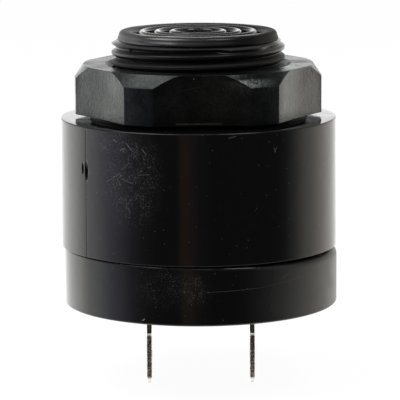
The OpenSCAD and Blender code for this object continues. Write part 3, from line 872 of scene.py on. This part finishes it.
def nut_plastic():
    """Finely textured black moulding with a slight green cast, lighter at its corners, partly from rubbing
    and partly as a painted highlight.
    """
    material, tree, shader = new_material("nut_plastic")
    place = place_mm(tree)
    parts = split(tree, place)
    # azimuth from the middle of the nearest flat
    turn = minus(tree, maths(tree, "ARCTAN2", parts[1], parts[0]), NUT_TURN + pi / 2)
    sector = maths(tree, "WRAP", turn, pi / 6, -pi / 6)
    corner = map_range(tree, maths(tree, "ABSOLUTE", sector), radians(18), radians(24))
    grain = noise(tree, place, 2.3, detail=2.0, roughness=0.7)
    pits = noise(tree, place, 1.3, detail=4.0, roughness=0.6)
    cloud = noise(tree, place, 0.3, roughness=0.5, distortion=0.6)
    drift = noise(tree, place, 0.17, detail=2.0, roughness=0.5, distortion=0.4)
    # the corners' lighter colour is partly rubbing and partly a painted highlight
    rubbed_and_painted_light = times(tree, corner, map_range(tree, cloud, 0.35, 0.6, 0.3, 1.0))
    dark = mix_colour(tree, cloud, (0.0014, 0.0016, 0.0015, 1), (0.0030, 0.0035, 0.0032, 1))
    corner_rub_and_highlight = mix_colour(tree, rubbed_and_painted_light, dark, (0.0075, 0.0075, 0.0085, 1))
    colour = mix_colour(tree, nut_marks_and_highlight(tree, place, parts, pits), corner_rub_and_highlight, (0.30, 0.30, 0.28, 1))
    tree.links.new(colour, shader.inputs["Base Color"])
    tree.links.new(map_range(tree, cloud, 0.3, 0.7, 0.26, 0.34), shader.inputs["Roughness"])
    level = nut_level(tree, place, parts, corner, grain, drift)
    tree.links.new(level, shader.inputs["Specular IOR Level"])
    shader.inputs["Specular Tint"].default_value = (0.89, 1.0, 0.975, 1)
    shader.inputs["IOR"].default_value = 1.5
    add_bump(tree, shader, plus(tree, times(tree, grain, 0.045), times(tree, pits, 0.04)), 1.0)
    return material


def rubber():
    """Dull black rubber with a fine grain."""
    material, tree, shader = new_material("gasket_rubber")
    place = place_mm(tree)
    grain = noise(tree, place, 7.0)
    colour = mix_colour(tree, noise(tree, place, 0.6), (0.002, 0.002, 0.002, 1), (0.005, 0.005, 0.005, 1))
    tree.links.new(colour, shader.inputs["Base Color"])
    tree.links.new(map_range(tree, grain, 0.3, 0.7, 0.42, 0.56), shader.inputs["Roughness"])
    shader.inputs["Specular IOR Level"].default_value = 0.08
    add_bump(tree, shader, grain, 0.004)
    return material


def tab_metal():
    """Dull speckled plate, olive on the stems and browner on the blades; near white at the tip, bare cut
    metal with a painted reflection, and on the shoulders' slope, a painted highlight.
    """
    material, tree, shader = new_material("tab_metal")
    place = place_mm(tree)
    z, tip = split(tree, place)[2], tab_low.z
    blot = noise(tree, place, 2.2, detail=5.0, roughness=0.7)
    fleck = noise(tree, place, 4.5, detail=4.0, roughness=0.75)
    stem = map_range(tree, z, tip + BLADE_TOP - STOP_FLAT, tip + BLADE_TOP)
    dark = mix_colour(tree, stem, (0.11, 0.075, 0.06, 1), (0.24, 0.24, 0.18, 1))
    pale = mix_colour(tree, stem, (0.74, 0.68, 0.62, 1), (0.70, 0.70, 0.60, 1))
    plate = mix_colour(tree, map_range(tree, fleck, 0.42, 0.66), dark, pale)
    # the tip is bare cut metal, painted near white as a reflection of the white floor
    cut_tip_glint = map_range(tree, z, tip + TIP_BEVEL + 0.15, tip + TIP_BEVEL)
    # the shoulders' slope is painted near white as a highlight
    slope_middle = tip + BLADE_TOP - STOP_FLAT - STOP_SLOPE / 2
    shoulder = map_range(tree, maths(tree, "ABSOLUTE", minus(tree, z, slope_middle)), 0.3, 0.2)
    plate = mix_colour(tree, cut_tip_glint, plate, (0.90, 0.89, 0.86, 1))
    tree.links.new(mix_colour(tree, shoulder, plate, (0.97, 0.97, 0.95, 1)), shader.inputs["Base Color"])
    shader.inputs["Metallic"].default_value = 1.0
    rough = map_range(tree, blot, 0.3, 0.7, 0.36, 0.22)
    rough = blend(tree, cut_tip_glint, rough, 0.4)
    tree.links.new(blend(tree, shoulder, rough, 0.25), shader.inputs["Roughness"])
    height = plus(tree, times(tree, fleck, 0.7), times(tree, blot, 0.5))
    add_bump(tree, shader, height, 0.03)
    return material


def plain_part(name, dark, light, scale, rough, metallic=0.0):
    """Material of an inner piece: two close tones, a little roughness and grain."""
    material, tree, shader = new_material(name)
    place = place_mm(tree)
    tone = noise(tree, place, scale, detail=4.0)
    tree.links.new(mix_colour(tree, tone, (*dark, 1), (*light, 1)), shader.inputs["Base Color"])
    shader.inputs["Metallic"].default_value = metallic
    tree.links.new(map_range(tree, tone, 0.3, 0.7, rough[0], rough[1]), shader.inputs["Roughness"])
    add_bump(tree, shader, noise(tree, place, scale * 6), 0.01)
    return material


def wound_wire():
    """Close turns of lacquered copper round an upright hub, with painted light on the turns."""
    material, tree, shader = new_material("copper_wire")
    inputs = {"Vector": place_mm(tree), "Scale": 1.2, "Distortion": 0.0}
    bands = add_node(tree, "ShaderNodeTexWave", inputs, bands_direction="Z").outputs["Fac"]
    # painted light: each band is lighter on a turn's crown and darker, as painted shade, in the groove
    # between turns
    colour = mix_colour(tree, bands, (0.22, 0.06, 0.015, 1), (0.62, 0.24, 0.08, 1))
    tree.links.new(colour, shader.inputs["Base Color"])
    shader.inputs["Metallic"].default_value = 0.8
    shader.inputs["Roughness"].default_value = 0.3
    add_bump(tree, shader, bands, 0.06)
    return material


# finishes of the hidden nodes by material slot: dark tone, light tone, grain, roughness range, metallic
INNER_FINISHES = {
    "inner_plastic": ((0.012,) * 3, (0.022,) * 3, 0.5, (0.35, 0.5)),
    "bond_silicone": ((0.62, 0.62, 0.58), (0.78, 0.78, 0.75), 1.0, (0.4, 0.5)),
    "disc_brass": ((0.62, 0.42, 0.13), (0.8, 0.6, 0.25), 0.7, (0.2, 0.35), 1.0),
    "disc_ceramic": ((0.6, 0.58, 0.5), (0.75, 0.73, 0.67), 0.8, (0.4, 0.55)),
    "board_laminate": ((0.02, 0.12, 0.03), (0.05, 0.22, 0.07), 1.5, (0.3, 0.4)),
    "ferrite": ((0.03,) * 3, (0.06,) * 3, 2.0, (0.5, 0.65)),
    "can_sleeve": ((0.02, 0.04, 0.12), (0.03, 0.06, 0.18), 0.6, (0.2, 0.3)),
    "capacitor_coat": ((0.4, 0.16, 0.04), (0.55, 0.24, 0.07), 1.2, (0.4, 0.5)),
    "transistor_case": ((0.012,) * 3, (0.025,) * 3, 3.0, (0.5, 0.6)),
    "diode_body": ((0.01,) * 3, (0.02,) * 3, 3.0, (0.4, 0.5)),
    "resistor_coat": ((0.36, 0.25, 0.12), (0.5, 0.36, 0.2), 1.5, (0.3, 0.4)),
    "red_insulation": ((0.4, 0.012, 0.012), (0.55, 0.03, 0.03), 1.0, (0.4, 0.5)),
    "black_insulation": ((0.01,) * 3, (0.02,) * 3, 1.0, (0.4, 0.5)),
    "blue_insulation": ((0.012, 0.05, 0.28), (0.03, 0.09, 0.4), 1.0, (0.4, 0.5)),
    "solder": ((0.5, 0.51, 0.53), (0.66, 0.67, 0.69), 2.0, (0.2, 0.35), 1.0),
}


def dress(obj, material):
    """Gives an object one material."""
    obj.data.materials.clear()
    obj.data.materials.append(material)


def dress_inner_nodes():
    """Gives each hidden CAD node the finish of its record slot."""
    finishes = {slot: plain_part(slot, *finish) for slot, finish in INNER_FINISHES.items()}
    finishes["copper_wire"] = wound_wire()
    for part in frame["record"]["subparts"]:
        if part["material_slot"] in finishes:
            dress(frame["nodes"][part["node"]], finishes[part["material_slot"]])


# ---- studio
TENT_LEVEL = 1.9  # brightness of the tent's rear wall against white
FLOOR_HALF = 3000
LENS_MM = 237.45
CAMERA_PLACE = (0.19, -414.83, 54.79)
CAMERA_DOWN = 9.364  # degrees
CAMERA_ROLL = -0.3  # degrees
# the tent's light by (degrees from the front, colour), from the rear to the front
LEFT_TENT = (
    (180, (1.0, 1.0, 1.0)), (122, (0.95, 0.95, 0.92)), (108, (0.68, 0.68, 0.67)),
    (93, (0.56, 0.56, 0.60)), (80, (0.35, 0.34, 0.41)), (67, (0.21, 0.20, 0.25)),
    (57, (0.08, 0.08, 0.095)), (47, (0.03, 0.03, 0.035)), (33, (0.006, 0.006, 0.006)),
    (17.5, (0.006, 0.006, 0.006)), (14, (0.078, 0.046, 0.028)), (10, (0.080, 0.046, 0.030)),
    (7.2, (0.075, 0.043, 0.034)), (0, (0.030, 0.026, 0.024)),
)
RIGHT_TENT = (
    (180, (1.0, 1.0, 1.0)), (165, (0.86, 0.86, 0.84)), (150, (0.78, 0.77, 0.73)),
    (124, (0.66, 0.61, 0.57)), (108, (0.49, 0.46, 0.42)), (96, (0.35, 0.34, 0.32)),
    (86, (0.15, 0.15, 0.15)), (77, (0.045, 0.045, 0.045)), (69, (0.013, 0.013, 0.013)),
    (30, (0.008, 0.008, 0.008)), (10, (0.004, 0.004, 0.004)), (0, (0.014, 0.014, 0.014)),
)
# azimuth and elevation in degrees, distance and size in metres, brightness against white
LAMPS = {
    "soft_box_left": (-62, 50, 0.55, 0.38, 2.5),
    "soft_box_middle": (-8, 52, 0.55, 0.3, 0.4),
    "soft_box_right": (46, 54, 0.5, 0.2, 3.25),
}


def ramp(tree, value, stops):
    """Colour ramp from (place, colour) stops, given in rising order."""
    node = add_node(tree, "ShaderNodeValToRGB", {"Fac": value})
    elements = node.color_ramp.elements
    elements.remove(elements[1])
    elements[0].position = stops[0][0]
    elements[0].color = (*stops[0][1], 1)
    for place, colour in stops[1:]:
        elements.new(place).color = (*colour, 1)
    return node.outputs["Color"]


def tent_side(tree, front, stops):
    """Light of one side of the tent."""
    return ramp(tree, front, [((1 + cos(radians(azimuth))) / 2, colour) for azimuth, colour in stops])


def studio_world():
    """Bright tent behind and beside the object, open and dark on the camera's side.

    The camera itself sees plain white.
    """
    world = bpy.data.worlds.new("studio")
    scene.world = world
    world.use_nodes = True
    tree = world.node_tree
    tree.nodes.clear()
    x, y, z = split(tree, tree.nodes.new("ShaderNodeTexCoord").outputs["Generated"])
    # front is 0 straight behind the object and 1 straight before it, at any height
    reach = maths(tree, "SQRT", plus(tree, times(tree, x, x), times(tree, y, y)))
    front = maths(tree, "DIVIDE", times(tree, y, -0.5), maths(tree, "MAXIMUM", reach, 0.001))
    front = plus(tree, front, 0.5)
    left = tent_side(tree, front, LEFT_TENT)
    right = tent_side(tree, front, RIGHT_TENT)
    sides = mix_colour(tree, maths(tree, "GREATER_THAN", x, 0.0), left, right)
    roof = ramp(tree, front, [(0.0, (0.2,) * 3), (0.5, (0.10,) * 3), (1.0, (0.08,) * 3)])
    above = mix_colour(tree, map_range(tree, z, -0.02, 0.45), sides, roof)
    around = mix_colour(tree, map_range(tree, z, -0.35, -0.7), above, (0.54, 0.54, 0.54, 1))
    seen = tree.nodes.new("ShaderNodeLightPath").outputs["Is Camera Ray"]
    tent = add_node(tree, "ShaderNodeBackground", {"Color": around, "Strength": TENT_LEVEL})
    white = add_node(tree, "ShaderNodeBackground", {"Color": (1, 1, 1, 1), "Strength": 1.0})
    mixed = add_node(tree, "ShaderNodeMixShader", {0: seen, 1: tent.outputs[0], 2: white.outputs[0]})
    output = tree.nodes.new("ShaderNodeOutputWorld")
    tree.links.new(mixed.outputs[0], output.inputs["Surface"])


def make_floor():
    """Pale floor that keeps a faint shadow; reflections, and views from below, look past it."""
    level = cad_bounds[0][2] / MM
    corners = [(x * FLOOR_HALF, y * FLOOR_HALF, level) for x, y in ((-1, -1), (1, -1), (1, 1), (-1, 1))]
    mesh = bpy.data.meshes.new("floor")
    mesh.from_pydata([Vector(v) * MM for v in corners], [], [(0, 1, 2, 3)])
    floor = bpy.data.objects.new("floor", mesh)
    scene.collection.objects.link(floor)
    material, tree, shader = new_material("floor_white")
    tree.nodes.remove(shader)
    # the glow makes it white, and the paper takes the shadow
    paper = add_node(tree, "ShaderNodeBsdfDiffuse", {"Color": (0.13, 0.13, 0.13, 1)})
    glow = add_node(tree, "ShaderNodeEmission", {"Color": (1, 1, 1, 1), "Strength": 0.948})
    both = add_node(tree, "ShaderNodeAddShader", {0: paper.outputs[0], 1: glow.outputs[0]})
    clear = tree.nodes.new("ShaderNodeBsdfTransparent")
    seen = tree.nodes.new("ShaderNodeLightPath").outputs["Is Camera Ray"]
    underside = tree.nodes.new("ShaderNodeNewGeometry").outputs["Backfacing"]
    shown = minus(tree, seen, underside)
    mixed = add_node(tree, "ShaderNodeMixShader", {0: shown, 1: clear.outputs[0], 2: both.outputs[0]})
    tree.links.new(mixed.outputs[0], tree.nodes["Material Output"].inputs["Surface"])
    floor.data.materials.append(material)


def make_lamp(name, azimuth, elevation, distance, size, level):
    """Square soft box that faces the object; level is its brightness against white."""
    light = bpy.data.lights.new(name, "AREA")
    light.size = size
    light.energy = level * pi * size * size
    lamp = bpy.data.objects.new(name, light)
    azimuth, elevation = radians(azimuth), radians(elevation)
    out = Vector((sin(azimuth) * cos(elevation), -cos(azimuth) * cos(elevation), sin(elevation)))
    lamp.location = out * distance
    lamp.rotation_euler = (-out).to_track_quat("-Z", "Y").to_euler()
    scene.collection.objects.link(lamp)


def make_camera():
    """Long lens a little above the neck, looking slightly down, with a touch of roll."""
    camera = bpy.data.cameras.new("camera")
    camera.sensor_width = 36
    camera.lens = LENS_MM
    camera.clip_start = 0.01
    camera.clip_end = 20
    obj = bpy.data.objects.new("camera", camera)
    look = Matrix.Rotation(radians(90 - CAMERA_DOWN), 4, "X")
    roll = Matrix.Rotation(radians(CAMERA_ROLL), 4, "Z")
    obj.matrix_world = Matrix.Translation(Vector(CAMERA_PLACE) * MM) @ look @ roll
    scene.collection.objects.link(obj)
    scene.camera = obj


# ---- wear of the two side walls
# marks that stand out: (start, end, half width, strength) on the unrolled wall
BODY_MARKS = (
    ((12.1, -2.6), (12.3, -3.05), 0.07, 0.4),
    ((12.6, -2.55), (12.3, -3.05), 0.07, 0.35),
    ((12.3, -3.15), (12.3, -3.25), 0.10, 0.7),
    ((4.6, -0.7), (5.7, -0.45), 0.07, 0.4),
    ((-11.6, -1.7), (-10.3, -3.0), 0.05, 0.7),
    ((-13.9, -1.3), (-13.3, -1.7), 0.10, 0.5),
    ((-12.6, -2.9), (-11.7, -2.5), 0.08, 0.5),
    ((-8.9, -2.4), (-8.1, -3.3), 0.06, 0.6),
    ((-12.4, -5.9), (-11.0, -4.7), 0.04, 0.45),
    ((-15.4, -8.0), (-12.6, -6.4), 0.04, 0.4),
    ((-9.6, -6.5), (-7.6, -6.3), 0.035, 0.5),
    ((-12.2, -7.3), (-10.4, -7.9), 0.05, 0.5),
    ((-13.2, -7.2), (-12.6, -8.4), 0.05, 0.4),
)
BASE_MARKS = (
    ((1.0, -24.3), (9.5, -24.0), 0.035, 0.3),
    ((9.5, -24.0), (18.0, -23.1), 0.035, 0.25),
    ((13.5, -22.9), (14.7, -22.3), 0.04, 0.35),
    ((-9.0, -29.0), (-8.6, -28.7), 0.10, 0.9),
)
# patches with haze, dust and hairlines: (centre, size, strength)
BODY_WORN = (((-11.0, -7.0), (6.5, 10.0), 1.0), ((-13.0, -2.0), (7.5, 3.0), 0.9))
BASE_WORN = (((-1.0, -23.8), (2.6, 3.2), 0.9), ((-4.5, -23.5), (8.5, 4.5), 0.4))
BASE_DULL_SIDE = 0.3
BASE_TINT = (0.95, 1.0, 0.96, 1)

# ---- the scene
make_camera()
studio_world()
make_floor()
for lamp_name, lamp in LAMPS.items():
    make_lamp(lamp_name, *lamp)

body_plastic = wall_plastic("housing_plastic", BODY_MARKS, BODY_WORN, BODY_R)
base_plastic = wall_plastic("base_plastic", BASE_MARKS, BASE_WORN, BASE_R, BASE_DULL_SIDE, BASE_TINT)
tab_plate = tab_metal()
dress(make_housing(), body_plastic)
dress(make_nut(), nut_plastic())
dress(make_gasket(), rubber())
dress(make_base(), base_plastic)
dress(make_terminal("tab_left", "terminal_left"), tab_plate)
dress(make_terminal("tab_right", "terminal_right"), tab_plate)
dress_inner_nodes()
